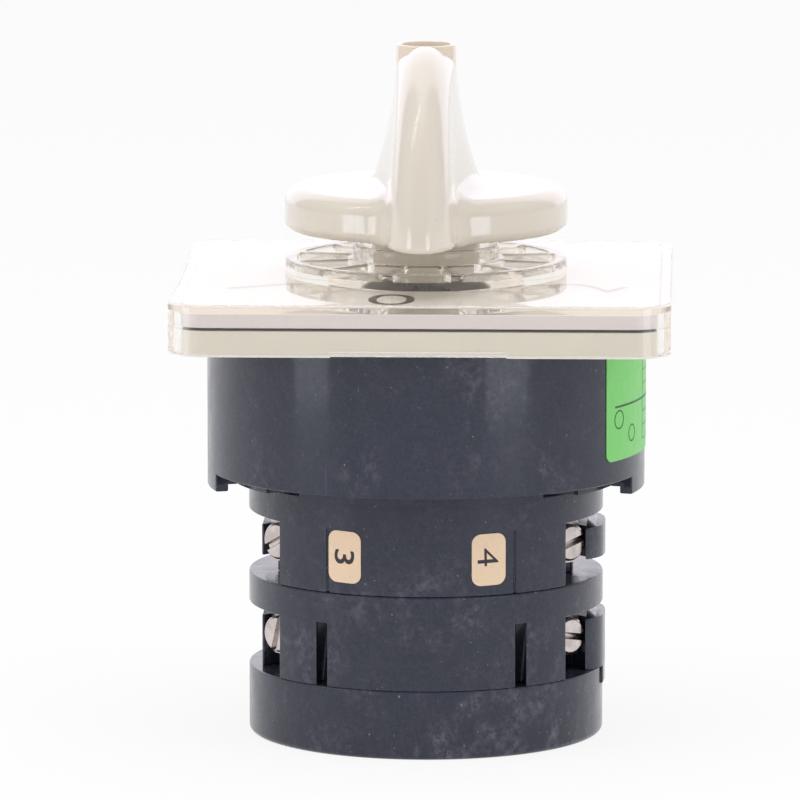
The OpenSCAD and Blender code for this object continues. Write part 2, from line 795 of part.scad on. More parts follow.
// Half widths: at the middle of the grip, and at its two ends
function flare(z) = pow(min(1, (grip_top_z - z) / (grip_top_z - disc_top_z)), flare_power);
function middle_half_w(z) = (grip_top_w + (grip_base_w - grip_top_w) * flare(z)) / 2;
function end_half_w(z, rear) = let (share = (z - ellipse_z) / (grip_top_z - ellipse_z))
    (nose_toe_w + (nose_top_w - nose_toe_w) * share) / 2 + (rear ? tail_extra : 0);
function grip_half_w(y, z) = let (rear = y > 0, end = grip_end_y(z, rear),
        share = end == 0 ? 1 : min(1, max(0, (end - y) / end)),
        soft = share * share * (3 - 2 * share))
    (end_half_w(z, rear) + (middle_half_w(z) - end_half_w(z, rear)) * soft) * prow(y, z);

// Share of the width that is left where the front of the nose is rounded in plan
function prow(y, z) = y > front_y ? 1
    : sqrt(1 - pow(max(0, 1 - max(0, y - grip_end_y(z, false)) / nose_prow), 2));

// One upright section of the grip at a place along it, rounded over at the top
function section_z(y, i) = disc_z + (grip_top(y) - disc_z) * sin(90 * i / grip_levels);
function section_half_w(y, i) = let (z = section_z(y, i),
        into = max(0, z - (grip_top(y) - ridge_round)) / ridge_round)
    max(ridge_round / 4, grip_half_w(y, z) - ridge_round * (1 - sqrt(max(0, 1 - into * into))));
function section(y) = concat(
    [for (i = [0 : grip_levels]) [section_half_w(y, i), y, section_z(y, i)]],
    [for (i = [grip_levels : -1 : 0]) [-section_half_w(y, i), y, section_z(y, i)]]);

// Places of the sections, closer together towards the two ends
front_stations = [for (i = [0 : grip_stations])
    front_y - (nose_reach + front_y) * 0.998 * cos(90 * i / grip_stations)];
rear_stations = [for (i = [grip_stations : -1 : 0])
    rear_y + (tail_reach - rear_y) * 0.998 * cos(90 * i / grip_stations)];

module grip() {
    stations = concat(front_stations, rear_stations);
    ring = 2 * (grip_levels + 1);
    points = [for (y = stations) each section(y)];
    walls = [for (i = [0 : len(stations) - 2], j = [0 : ring - 1])
        let (k = (j + 1) % ring, p = i * ring, q = (i + 1) * ring)
        each [[p + j, p + k, q + j], [p + k, q + k, q + j]]];
    first = [for (j = [ring - 1 : -1 : 0]) j];
    last = [for (j = [0 : ring - 1]) (len(stations) - 1) * ring + j];
    polyhedron(points, concat(walls, [first, last]));
}

// Disc of the handle with a rounded rim and a bevel below
module handle_disc() {
    rotate_extrude() difference() {
        union() {
            square([disc_d / 2 - disc_edge_r, disc_t]);
            square([disc_d / 2, disc_t - disc_edge_r]);
            translate([disc_d / 2 - disc_edge_r, disc_t - disc_edge_r]) circle(disc_edge_r);
        }
        translate([disc_d / 2, 0]) rotate(45) square(disc_bevel, center = true);
    }
}

module handle() {
    color([0.87, 0.85, 0.79]) difference() {
        union() {
            translate([0, 0, disc_z]) handle_disc();
            grip();
            translate([0, 0, disc_top_z]) cylinder(d = cup_d, h = cup_rim_z - disc_top_z);
            translate([0, 0, cover_top_z])
                cylinder(d = neck_d - bore_gap, h = disc_z - cover_top_z + neck_wall);
        }
        translate([0, 0, screw_seat_z]) cylinder(d = cup_bore_d, h = cup_rim_z);
        cylinder(d = handle_screw_d + 8 * fit_gap, h = cup_rim_z);
        shaft_hole(shaft_top_z / 2, shaft_top_z + end_gap);
    }
}

module handle_screw() {
    slot_z = screw_seat_z + handle_screw_head_h - handle_screw_slot;
    color([0.75, 0.75, 0.76]) difference() {
        union() {
            translate([0, 0, screw_seat_z])
                cylinder(d = cup_bore_d - 10 * fit_gap, h = handle_screw_head_h);
            translate([0, 0, screw_seat_z - handle_screw_l])
                cylinder(d = handle_screw_d, h = handle_screw_l + eps);
        }
        translate([-cup_bore_d / 2, -handle_screw_slot / 2, slot_z])
            cube([cup_bore_d, handle_screw_slot, 2 * handle_screw_slot]);
    }
}

// Shaft and what turns on it

module shaft() {
    foot_z = cap_h + end_gap;
    color([0.68, 0.69, 0.7]) difference() {
        union() {
            translate([0, 0, pivot_z + end_gap]) cylinder(d = pivot_d, h = foot_z - pivot_z);
            translate([-shaft_w / 2, -shaft_w / 2, foot_z])
                cube([shaft_w, shaft_w, shaft_top_z - foot_z]);
        }
        translate([0, 0, shaft_top_z - handle_screw_l])
            cylinder(d = handle_screw_d + 2 * fit_gap, h = handle_screw_l + over);
    }
}

module shaft_clip() {
    color([0.6, 0.6, 0.62]) translate([0, 0, housing_top_z + end_gap]) difference() {
        cylinder(d = neck_d - neck_wall, h = clip_t);
        shaft_hole(-eps, clip_t + eps);
        translate([0, -clip_slot / 2, -eps]) cube([neck_d, clip_slot, clip_t + 2 * eps]);
    }
}

// Square hole for the shaft
module shaft_hole(z0, z1) {
    translate([0, 0, z0]) linear_extrude(z1 - z0)
        square(shaft_w + 2 * square_gap, center = true);
}

module detent_wheel() {
    scallop_r = roller_r + part_gap;
    color([0.9, 0.89, 0.85]) difference() {
        union() {
            translate([0, 0, wheel_z]) difference() {
                cylinder(r = wheel_r, h = wheel_t);
                for (i = [0 : notch_count - 1]) rotate([0, 0, i * step_angle + 90])
                    translate([wheel_r - notch_depth + scallop_r, 0, -eps])
                        cylinder(r = scallop_r, h = wheel_t + 2 * eps);
            }
            translate([0, 0, seat_z + end_gap]) cylinder(d = hub_d, h = wheel_z - seat_z);
            translate([0, 0, wheel_z + wheel_t - eps])
                cylinder(d = neck_d, h = housing_top_z - wheel_z - wheel_t + eps);
        }
        shaft_hole(seat_z, housing_top_z + eps);
    }
}

// Cam outline: its radius falls by the same amount for every degree away from the right side
function cam_radius(a) = cam_r + stroke_per_degree
    * (cam_rise - min(2 * cam_rise, max(0, abs(a) - cam_flat)));
cam_outline = [for (a = [-180 : cam_step : 180 - cam_step])
    cam_radius(a) * [cos(a), sin(a)]];

module cam(z) {
    color([0.92, 0.9, 0.84]) translate([0, 0, z]) difference() {
        union() {
            translate([0, 0, cam_z]) linear_extrude(cam_t) polygon(cam_outline);
            translate([0, 0, end_gap]) cylinder(d = cam_foot_d, h = cam_z);
            translate([0, 0, cam_z + cam_t - eps])
                cylinder(d = hub_d, h = stage_h - cam_z - cam_t - end_gap + eps);
        }
        shaft_hole(-eps, stage_h);
    }
}

module cam_1() { cam(stage_1_z); }
module cam_2() { cam(stage_2_z); }

// Plungers, bridges and springs

module plunger(z, rear) {
    mid_z = z + contact_z;
    body_y = plunger_y + plunger_nose_r;
    color([0.93, 0.91, 0.86]) to_side(rear) difference() {
        union() {
            translate([0, -plunger_y - plunger_nose_r, mid_z - plunger_h / 2])
                cylinder(r = plunger_nose_r, h = plunger_h);
            translate([-plunger_nose_r, -body_y - plunger_neck_l, mid_z - plunger_h / 2])
                cube([2 * plunger_nose_r, plunger_neck_l, plunger_h]);
            translate([-plunger_w / 2, -bridge_back_y - plunger_cap_t, mid_z - plunger_h / 2])
                cube([plunger_w, bridge_back_y + plunger_cap_t - body_y - plunger_neck_l
                    + plunger_neck_lap, plunger_h]);
        }
        translate([-plunger_w, -bridge_back_y - fit_gap, mid_z - strip_h / 2 - fit_gap])
            cube([2 * plunger_w, strip_t + 2 * fit_gap, strip_h + 2 * fit_gap]);
        translate([0, -bridge_back_y, mid_z]) rotate([90, 0, 0])
            cylinder(d = spring_d + part_gap, h = 2 * over);
    }
}

module plunger_1_front() { plunger(stage_1_z, false); }
module plunger_1_rear() { plunger(stage_1_z, true); }
module plunger_2_front() { plunger(stage_2_z, false); }
module plunger_2_rear() { plunger(stage_2_z, true); }

module bridge(z, rear) {
    mid_z = z + contact_z;
    color([0.82, 0.6, 0.4]) to_side(rear) {
        translate([-bridge_l / 2, -bridge_back_y, mid_z - strip_h / 2])
            cube([bridge_l, strip_t, strip_h]);
        for (x = [-1, 1]) translate([x * rivet_x, -bridge_rivet_y, mid_z]) rotate([90, 0, 0])
            cylinder(d = rivet_d, h = rivet_h + eps);
    }
}

module bridge_1_front() { bridge(stage_1_z, false); }
module bridge_1_rear() { bridge(stage_1_z, true); }
module bridge_2_front() { bridge(stage_2_z, false); }
module bridge_2_rear() { bridge(stage_2_z, true); }

module contact_spring(z, rear) {
    color([0.65, 0.66, 0.68]) to_side(rear)
        translate([0, -bridge_back_y - slide_gap / 2, z + contact_z]) rotate([90, 0, 0])
            coil_spring(spring_d, spring_wire, contact_spring_l, 4);
}

module spring_1_front() { contact_spring(stage_1_z, false); }
module spring_1_rear() { contact_spring(stage_1_z, true); }
module spring_2_front() { contact_spring(stage_2_z, false); }
module spring_2_rear() { contact_spring(stage_2_z, true); }

// Detent

module detent_carrier(rear) {
    mid_z = wheel_z + wheel_t / 2;
    color([0.9, 0.89, 0.85]) to_side(rear) difference() {
        translate([-carrier_w / 2, -carrier_y - carrier_l, mid_z - carrier_h / 2])
            cube([carrier_w, carrier_l, carrier_h]);
        translate([-carrier_w, -roller_y - roller_r - part_gap, mid_z - wheel_t / 2 - end_gap])
            cube([2 * carrier_w, roller_d + 2 * over, wheel_t + 2 * end_gap]);
        translate([0, -roller_y, mid_z - carrier_h])
            cylinder(d = roller_pin_d + 2 * fit_gap, h = 2 * carrier_h);
        translate([0, -carrier_y - carrier_l - eps, mid_z]) rotate([-90, 0, 0])
            cylinder(d = detent_spring_d + 2 * end_gap, h = spring_seat_depth);
    }
}

module detent_roller(rear) {
    mid_z = wheel_z + wheel_t / 2;
    color([0.7, 0.7, 0.72]) to_side(rear) translate([0, -roller_y, mid_z]) {
        cylinder(d = roller_d, h = wheel_t, center = true);
        cylinder(d = roller_pin_d, h = carrier_h, center = true);
    }
}

module detent_spring(rear) {
    start_y = carrier_y + carrier_l - spring_seat_depth + 2 * fit_gap;
    end_y = sqrt(pow(cavity_r, 2) - pow(detent_spring_d / 2, 2)) - slide_gap;
    color([0.65, 0.66, 0.68]) to_side(rear)
        translate([0, -start_y, wheel_z + wheel_t / 2]) rotate([90, 0, 0])
            coil_spring(detent_spring_d, detent_spring_wire, end_y - start_y, 5);
}

module detent_carrier_front() { detent_carrier(false); }
module detent_carrier_rear() { detent_carrier(true); }
module detent_roller_front() { detent_roller(false); }
module detent_roller_rear() { detent_roller(true); }
module detent_spring_front() { detent_spring(false); }
module detent_spring_rear() { detent_spring(true); }

end_cap();
stage_2_frame();
stage_1_frame();
latch_base();
latch_housing();
front_plate();
legend_insert();
clear_cover();
rating_label();
number_stickers();
tie_bolts();
tie_nuts();
fixed_contacts_1();
fixed_contacts_2();
terminal_screws_1();
terminal_screws_2();
spring_washers();
clamp_washers();
handle();
handle_screw();
shaft();
shaft_clip();
detent_wheel();
cam_1();
cam_2();
plunger_1_front();
plunger_1_rear();
plunger_2_front();
plunger_2_rear();
bridge_1_front();
bridge_1_rear();
bridge_2_front();
bridge_2_rear();
spring_1_front();
spring_1_rear();
spring_2_front();
spring_2_rear();
detent_carrier_front();
detent_carrier_rear();
detent_roller_front();
detent_roller_rear();
detent_spring_front();
detent_spring_rear();
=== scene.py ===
import math

import bmesh
import bpy
import numpy as np
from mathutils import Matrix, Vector


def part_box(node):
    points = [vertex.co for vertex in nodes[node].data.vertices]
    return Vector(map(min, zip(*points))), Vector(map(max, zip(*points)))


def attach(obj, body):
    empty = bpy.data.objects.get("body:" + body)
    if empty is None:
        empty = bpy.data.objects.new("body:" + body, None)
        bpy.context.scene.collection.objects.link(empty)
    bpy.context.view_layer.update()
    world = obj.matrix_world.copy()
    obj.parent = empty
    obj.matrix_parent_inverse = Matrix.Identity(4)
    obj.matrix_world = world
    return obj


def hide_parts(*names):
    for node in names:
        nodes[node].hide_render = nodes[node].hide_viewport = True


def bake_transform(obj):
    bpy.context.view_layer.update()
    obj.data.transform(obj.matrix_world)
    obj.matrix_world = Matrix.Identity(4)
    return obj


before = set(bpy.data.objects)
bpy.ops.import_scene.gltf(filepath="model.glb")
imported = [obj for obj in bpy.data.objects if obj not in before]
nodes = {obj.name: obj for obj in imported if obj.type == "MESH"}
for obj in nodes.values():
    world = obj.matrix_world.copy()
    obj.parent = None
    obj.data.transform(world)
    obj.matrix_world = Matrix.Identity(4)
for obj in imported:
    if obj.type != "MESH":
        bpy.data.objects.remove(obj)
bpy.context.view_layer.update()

MM = 0.001
scene = bpy.context.scene
scene.view_settings.view_transform = "Standard"


def span(node):
    """The lowest and highest corner of a node of the solids, in millimetres."""
    return [[c / MM for c in corner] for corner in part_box(node)]


# Levels above the underside of the end cap and radii of the body, in millimetres
STAGE_1_Z = span("stage_1_frame")[0][2]
STICKER_Z = STAGE_1_Z + 4.6
HOUSING_TOP_Z = span("latch_housing")[1][2]
COVER_TOP_Z = span("clear_cover")[1][2] - 3.9
HOUSING_R = span("latch_housing")[1][0]
STAGE_R = span("stage_1_frame")[1][1]
LABEL_T = 0.12
LABEL_LIFT = 0.01

# The photo shows a thicker insert under a thinner roof than the solids have
CAD_INSERT_LOW_Z = span("legend_insert")[0][2]
CAD_INSERT_TOP_Z = span("legend_insert")[1][2]
CAD_ROOF_LOW_Z = CAD_INSERT_TOP_Z + 0.1
ROOF_RISE = 0.7
SEAM_RISE = 0.12
INSERT_TOP_Z = CAD_INSERT_TOP_Z + ROOF_RISE

# Sizes of the handle, in millimetres
CUP_RIM_Z = span("handle")[1][2] - 0.3
CUP_FLOOR_Z = CUP_RIM_Z - 9.8
DISC_Z = CUP_RIM_Z - 24.0
DISC_TOP_Z = DISC_Z + 5.6
DISC_R = 18.4
NECK_R = 7.0
BORE_R = 3.5
GRIP_TOP_Z = CUP_RIM_Z + 0.05
ELLIPSE_Z = DISC_Z - 0.6
GRIP_B = GRIP_TOP_Z - ELLIPSE_Z
TAIL_DROP = 1.2
RIDGE_HALF = 4.0
NOSE_A = 23.0
TAIL_A = 13.6


class Nodes:
    """Short forms for the procedural nodes of a material or of the world."""

    def __init__(self, tree):
        self.tree = tree

    def feed(self, socket, value):
        """Gives a socket a link, a colour or a plain value."""
        if isinstance(value, bpy.types.NodeSocket):
            self.tree.links.new(value, socket)
        elif isinstance(value, tuple) and len(value) == 3 and socket.type == "RGBA":
            socket.default_value = (*value, 1)
        else:
            socket.default_value = value

    def node(self, kind, sockets=None, **settings):
        made = self.tree.nodes.new(kind)
        for key, value in settings.items():
            setattr(made, key, value)
        for key, value in (sockets or {}).items():
            self.feed(made.inputs[key], value)
        return made

    def math(self, operation, a, b=0.0):
        return self.node("ShaderNodeMath", {0: a, 1: b}, operation=operation).outputs[0]

    def times(self, a, b):
        return self.math("MULTIPLY", a, b)

    def most(self, a, b):
        return self.math("MAXIMUM", a, b)

    def absolute(self, value):
        return self.math("ABSOLUTE", value)

    def ramp(self, value, low, high, out_low=0.0, out_high=1.0):
        """Runs smoothly from out_low to out_high while the value runs from low to high."""
        made = self.node("ShaderNodeMapRange", {
            "Value": value, "From Min": low, "From Max": high,
            "To Min": out_low, "To Max": out_high}, interpolation_type="SMOOTHSTEP")
        return made.outputs["Result"]

    def mix(self, factor, a, b):
        """Mixes two colours."""
        made = self.node("ShaderNodeMix", {"Factor": factor}, data_type="RGBA")
        self.feed(made.inputs["A"], a)
        self.feed(made.inputs["B"], b)
        return made.outputs["Result"]

    def layer(self, factor, a, b):
        """Mixes two shaders."""
        return self.node("ShaderNodeMixShader", {"Fac": factor, 1: a, 2: b}).outputs[0]

    def shader(self, kind, **sockets):
        return self.node("ShaderNode" + kind, sockets).outputs[0]

    def axes(self, vector):
        return self.node("ShaderNodeSeparateXYZ", {"Vector": vector}).outputs

    def rays(self):
        return self.node("ShaderNodeLightPath").outputs


# Camera, light and floor

WHITE = (1.0, 1.0, 1.0)
ROOM_AHEAD, ROOM_BESIDE = (0.30, 0.30, 0.32), (0.56, 0.54, 0.60)
MIRRORED_BACKDROP = (1.3, 1.26, 1.38)
ROOM_THROUGH_GLASS = (0.38, 0.36, 0.35)
SOFT_LIGHT = (0.74, 0.74, 0.76)
WINDOW_BLUE = (0.84, 0.88, 1.0)


def place_camera():
    """A long lens at the photograph's height, aimed a little to the left of the shaft."""
    azimuth, elevation = math.radians(2.0), math.radians(8.6)
    distance, focal_px, frame_px, sensor = 1.134, 8700, 800, 36
    aim_left, aim_drop = 3.4, 10.1
    back = Vector((math.sin(azimuth) * math.cos(elevation),
                   -math.cos(azimuth) * math.cos(elevation), math.sin(elevation)))
    right = Vector((math.cos(azimuth), math.sin(azimuth), 0))
    look_at = right * (-aim_left * MM) + Vector((0, 0, (HOUSING_TOP_Z - aim_drop) * MM))
    data = bpy.data.cameras.new("camera")
    data.sensor_width = sensor
    data.lens = focal_px / frame_px * sensor
    data.clip_start = 0.05
    data.clip_end = 50
    camera = bpy.data.objects.new("camera", data)
    scene.collection.objects.link(camera)
    camera.location = look_at + back * distance
    camera.rotation_euler = back.to_track_quat("Z", "Y").to_euler()
    scene.camera = camera


def light_world():
    """White all round. Gloss and glass also show the dimmer room in front of the switch."""
    world = bpy.data.worlds.new("studio")
    scene.world = world
    world.use_nodes = True
    made = Nodes(world.node_tree)
    made.tree.nodes.clear()
    rays = made.rays()
    toward = made.axes(made.node("ShaderNodeTexCoord").outputs["Generated"])
    behind = made.math("DIVIDE", made.most(toward["Y"], 0.0), 0.68)
    above = made.math("DIVIDE", made.most(toward["Z"], 0.0), 0.97)
    reach = made.math("ADD", made.times(behind, behind), made.times(above, above))
    room = made.mix(made.ramp(toward["Y"], -0.85, -0.2), ROOM_AHEAD, ROOM_BESIDE)
    mirrored = made.mix(made.ramp(reach, 0.86, 1.1), room, MIRRORED_BACKDROP)
    refracted = made.mix(made.ramp(toward["Y"], -0.75, -0.1), ROOM_THROUGH_GLASS, WHITE)
    lit = made.mix(rays["Is Glossy Ray"], SOFT_LIGHT, mirrored)
    through = made.mix(rays["Is Transmission Ray"], lit, refracted)
    seen = made.mix(rays["Is Camera Ray"], through, WHITE)
    made.node("ShaderNodeOutputWorld", {"Surface": made.shader("Background", Color=seen)})


def add_lamp(name, place, size, watts, colour=WHITE, lights=True, mirrored=True):
    """A lamp that faces the middle of the switch and lights it, shows in its gloss, or both."""
    data = bpy.data.lights.new(name, "AREA")
    data.shape = "RECTANGLE"
    data.size, data.size_y = size
    data.energy = watts
    data.color = colour
    lamp = bpy.data.objects.new(name, data)
    scene.collection.objects.link(lamp)
    lamp.location = place
    aim = Vector(place) - Vector((0, 0, 0.05))
    lamp.rotation_euler = aim.to_track_quat("Z", "Y").to_euler()
    lamp.visible_camera = False
    lamp.visible_transmission = False
    lamp.visible_diffuse = lights
    lamp.visible_glossy = mirrored
    data.diffuse_factor = float(lights)
    data.specular_factor = float(mirrored)


def add_lamps():
    """Three soft boxes that only light, then two windows and two tubes that only show in gloss."""
    add_lamp("left_box", (-0.62, -0.28, 0.30), (0.4, 0.5), 1.1, mirrored=False)
    add_lamp("right_box", (0.60, -0.32, 0.28), (0.4, 0.5), 0.9, mirrored=False)
    add_lamp("top_box", (0.0, -0.05, 0.75), (0.6, 0.6), 1.6, mirrored=False)
    away, height, tall, glow = 0.32, 0.047, 0.09, 7.0
    for side, degrees, across in (("left", -58, 0.11), ("right", 43, 0.125)):
        a = math.radians(degrees)
        spot = (away * math.sin(a), -away * math.cos(a), height)
        add_lamp(side + "_window", spot, (across, tall), glow * across * tall, WINDOW_BLUE,
                 lights=False)
    for side, x in (("near", -0.22), ("far", -0.42)):
        add_lamp(side + "_tube", (x, -0.13, 0.62), (0.02, 0.35), 0.13, lights=False)


def add_floor():
    """A white floor that keeps a faint shadow under the switch."""
    mesh = bpy.data.meshes.new("floor")
    reach, glow_share = 6, 0.86
    corners = [(-reach, -reach, 0), (reach, -reach, 0), (reach, reach, 0), (-reach, reach, 0)]
    mesh.from_pydata(corners, [], [(0, 1, 2, 3)])
    floor = bpy.data.objects.new("floor", mesh)
    scene.collection.objects.link(floor)
    material = bpy.data.materials.new("floor_white")
    material.use_nodes = True
    made = Nodes(material.node_tree)
    made.tree.nodes.clear()
    rays = made.rays()
    seen = made.most(rays["Is Camera Ray"], rays["Is Transmission Ray"])
    seen = made.most(seen, rays["Is Glossy Ray"])
    matt = made.shader("BsdfDiffuse", Color=(0.9, 0.9, 0.9))
    glow = made.shader("Emission", Color=WHITE)
    surface = made.layer(made.times(seen, glow_share), matt, glow)
    made.node("ShaderNodeOutputMaterial", {"Surface": surface})
    mesh.materials.append(material)


# Materials

SLATE_DARK, SLATE_PALE = (0.0215, 0.0245, 0.0415), (0.0310, 0.0345, 0.0550)
SLATE_DUST = (0.155, 0.150, 0.185)
SLATE_SPECK = (0.45, 0.45, 0.50)
SLATE_SCRATCH = (0.22, 0.22, 0.27)
PALE_DOT = (0.25, 0.22, 0.18)
# Near-black painted shade for the gap between the plate and the insert on it
SEAM_PAINTED_SHADE = (0.03, 0.025, 0.028)
CLEAR_TINT, CLEAR_IOR = (0.985, 0.975, 0.95), 1.49
CLEAR_AIR = (0.98, 0.975, 0.965)
FROST = (0.98, 0.96, 0.95)
# Colours of the painted glow that ends long paths of light inside the clear plastic
DIAL_PAINTED_GLOW, COVER_PAINTED_GLOW = (0.34, 0.31, 0.28), (0.90, 0.81, 0.72)


def srgb(red, green, blue):
    """A colour as written on screen, from 0 to 255, to the linear one that shaders take."""
    return tuple(((v / 255 + 0.055) / 1.055) ** 2.4 if v > 10 else v / 255 / 12.92
                 for v in (red, green, blue))


def darker(colour, share):
    return tuple(c * share for c in colour)


class Finish(Nodes):
    """A Principled material, with noise and bumps sized in millimetres."""

    def __init__(self, name, **values):
        self.material = bpy.data.materials.new(name)
        self.material.use_nodes = True
        super().__init__(self.material.node_tree)
        self.bsdf = self.tree.nodes["Principled BSDF"]
        coords = self.node("ShaderNodeTexCoord").outputs
        self.coords, self.face = coords["Object"], coords["Normal"]
        for key, value in values.items():
            self.bsdf.inputs[key.replace("_", " ")].default_value = value

    def noise(self, size_mm, detail, roughness, stretch=(1, 1, 1), shift=0.0):
        """Noise whose patches are about size_mm across, from 0 to 1."""
        moved = self.node("ShaderNodeMapping", {
            "Vector": self.coords, "Location": (shift, shift * 0.7, shift * 1.3),
            "Scale": tuple(s / (size_mm * MM) for s in stretch)})
        made = self.node("ShaderNodeTexNoise", {
            "Vector": moved.outputs[0], "Scale": 1.0, "Detail": detail, "Roughness": roughness})
        return made.outputs["Fac"]

    def bump(self, height, distance_mm, strength, under=None):
        sockets = {"Height": height, "Distance": distance_mm * MM, "Strength": strength}
        if under is not None:
            sockets["Normal"] = under
        return self.node("ShaderNodeBump", sockets).outputs["Normal"]

    def set(self, **sockets):
        for key, value in sockets.items():
            self.feed(self.bsdf.inputs[key.replace("_", " ")], value)
        return self.material


def black_plastic(name, shift, dust):
    """Glossy slate-black plastic with mottled wipe marks, faint specks and hairline scratches."""
    made = Finish(name, Specular_IOR_Level=0.2, Coat_Weight=0.4, Coat_Roughness=0.1)
    patch = made.ramp(made.noise(13, 2, 0.5, shift=shift), 0.40, 0.66)
    cloud = made.ramp(made.noise(3.0, 5, 0.68, (1, 1, 0.75), shift + 3), 0.40, 0.72)
    mottle = made.ramp(made.noise(0.9, 4, 0.7, shift=shift + 5), 0.35, 0.7)
    clouded = made.times(cloud, mottle)
    grime = made.times(made.most(made.times(patch, clouded), made.times(clouded, 0.22)), dust)
    grain = made.ramp(made.noise(0.4, 2, 0.5, shift=shift), 0.3, 0.7)
    dusty = made.mix(grime, made.mix(grain, SLATE_DARK, SLATE_PALE), SLATE_DUST)
    speck = made.ramp(made.noise(0.42, 1, 0.4, shift=shift + 7), 0.765, 0.79)
    dotted = made.mix(made.times(speck, 0.4), dusty, SLATE_SPECK)
    scratch = made.ramp(made.noise(0.9, 2, 0.5, (1, 1, 0.06), shift + 11), 0.72, 0.78)
    marked = made.mix(made.times(scratch, 0.12), dotted, SLATE_SCRATCH)
    wiped = made.ramp(made.noise(3, 3, 0.6, shift=shift), 0.3, 0.7, 0.22, 0.31)
    sheen = made.math("ADD", wiped, made.times(grime, 0.15))
    fine = made.bump(made.noise(0.3, 2, 0.6, shift=shift), 0.006, 0.5)
    waves = made.bump(made.noise(6, 2, 0.5, shift=shift), 0.03, 0.3, fine)
    return made.set(Base_Color=marked, Roughness=sheen, Normal=waves)


def pale_plastic(name, colour, shade, roughness, shift, painted_shade_top=False):
    """Moulded pale plastic with slight flow marks and hairline handling scratches. A shaded top
    is painted shade: the upward faces go near-black for the shade in the gap where another sheet
    lies on it."""
    made = Finish(name, Specular_IOR_Level=0.5, Coat_Weight=0.9, Coat_Roughness=0.03)
    flow = made.ramp(made.noise(12, 3, 0.5, shift=shift), 0.3, 0.7)
    tone = made.mix(flow, colour, darker(colour, shade))
    mark = made.ramp(made.noise(0.9, 2, 0.5, (1, 0.1, 0.12), shift + 5), 0.68, 0.76)
    worn = made.mix(made.times(mark, 0.12), tone, darker(colour, 0.7))
    dot = made.ramp(made.noise(0.8, 1, 0.4, shift=shift + 2), 0.76, 0.79)
    dirt_and_shade = made.mix(made.times(dot, 0.2), worn, PALE_DOT)
    if painted_shade_top:
        # painted shade: the upward faces turn near-black, standing in for the shade in the gap
        # under the sheet above
        dirt_and_shade = made.mix(made.ramp(made.axes(made.face)["Z"], 0.3, 0.7), dirt_and_shade, SEAM_PAINTED_SHADE)
    gloss = made.ramp(made.noise(2, 3, 0.6, shift=shift), 0.3, 0.75, roughness, roughness + 0.08)
    skin = made.bump(made.noise(1.5, 2, 0.5, shift=shift), 0.01, 0.25)
    return made.set(Base_Color=dirt_and_shade, Roughness=gloss, Normal=skin)


def level_glass(made, spot, aside):
    """Plain glass for the cover's level faces, not mirrored over the numeral at the front."""
    behind = made.ramp(spot["Y"], -18.5 * MM, -16 * MM)
    held = made.math("GREATER_THAN", made.shader("Fresnel", IOR=CLEAR_IOR), 0.95)
    shine = made.most(made.most(aside, behind), held)
    bent = made.shader("BsdfRefraction", Color=CLEAR_TINT, IOR=CLEAR_IOR, Roughness=0.0)
    smooth = made.shader("BsdfGlass", Color=CLEAR_TINT, IOR=CLEAR_IOR, Roughness=0.0)
    return made.layer(shine, bent, smooth)


def frost_edges(made, spot, lean, body):
    """Frosts the rounded edges along the outside of the square cover."""
    reach = made.most(made.absolute(spot["X"]), made.absolute(spot["Y"]))
    outer = made.ramp(reach, 28 * MM, 30 * MM)
    rounded = made.times(made.ramp(lean, 0.1, 0.3), made.ramp(lean, 0.8, 0.97, 1, 0))
    matt = made.shader("BsdfDiffuse", Color=FROST)
    lit_through = made.shader("BsdfTranslucent", Color=FROST)
    return made.layer(made.times(made.times(outer, rounded), 0.7), body,
                      made.layer(0.5, matt, lit_through))


def end_in_painted_glow(made, rays, aside, body):
    """Paints a glow in place of light that has turned too often inside the plastic: dim at the
    middle of the dial, paler towards its sides and outside it.
    """
    across = made.node("ShaderNodeVectorMath", {0: made.coords, 1: (1, 1, 0)},
                       operation="MULTIPLY")
    radius = made.node("ShaderNodeVectorMath", {0: across.outputs[0]}, operation="LENGTH")
    outside = made.ramp(radius.outputs["Value"], 18.6 * MM, 20.5 * MM)
    pale = made.most(outside, made.times(aside, 0.65))
    # painted light: an emitted glow, dim in the dial and pale beyond it
    painted_glow = made.shader("Emission", Color=made.mix(pale, DIAL_PAINTED_GLOW, COVER_PAINTED_GLOW))
    crossed = made.math("GREATER_THAN", rays["Transmission Depth"], 6.5)
    bounced = made.math("GREATER_THAN", rays["Glossy Depth"], 2.5)
    return made.layer(made.most(crossed, bounced), body, painted_glow)


def clear_plastic():
    """Clear moulded plastic with frosted outer edges. Lamps and soft light pass through it."""
    made = Finish("clear_moulding", Base_Color=(*CLEAR_TINT, 1), Transmission_Weight=1.0,
                  IOR=CLEAR_IOR)
    scuff = made.ramp(made.noise(1.4, 3, 0.6, (1, 1, 0.3)), 0.6, 0.8, 0.01, 0.06)
    dents = made.bump(made.noise(4, 2, 0.5), 0.02, 0.2)
    made.set(Roughness=scuff, Normal=dents)
    rays, spot = made.rays(), made.axes(made.coords)
    lean = made.absolute(made.axes(made.face)["Z"])
    aside = made.ramp(made.absolute(spot["X"]), 8 * MM, 14 * MM)
    calm = made.times(made.math("GREATER_THAN", lean, 0.9), 0.8)
    body = made.layer(calm, made.bsdf.outputs[0], level_glass(made, spot, aside))
    body = frost_edges(made, spot, lean, body)
    soft = made.most(rays["Is Shadow Ray"], rays["Is Diffuse Ray"])
    open_air = made.shader("BsdfTransparent", Color=CLEAR_AIR)
    body = made.layer(made.most(soft, 0.06), body, open_air)
    surface = made.tree.nodes["Material Output"].inputs["Surface"]
    made.feed(surface, end_in_painted_glow(made, rays, aside, body))
    return made.material


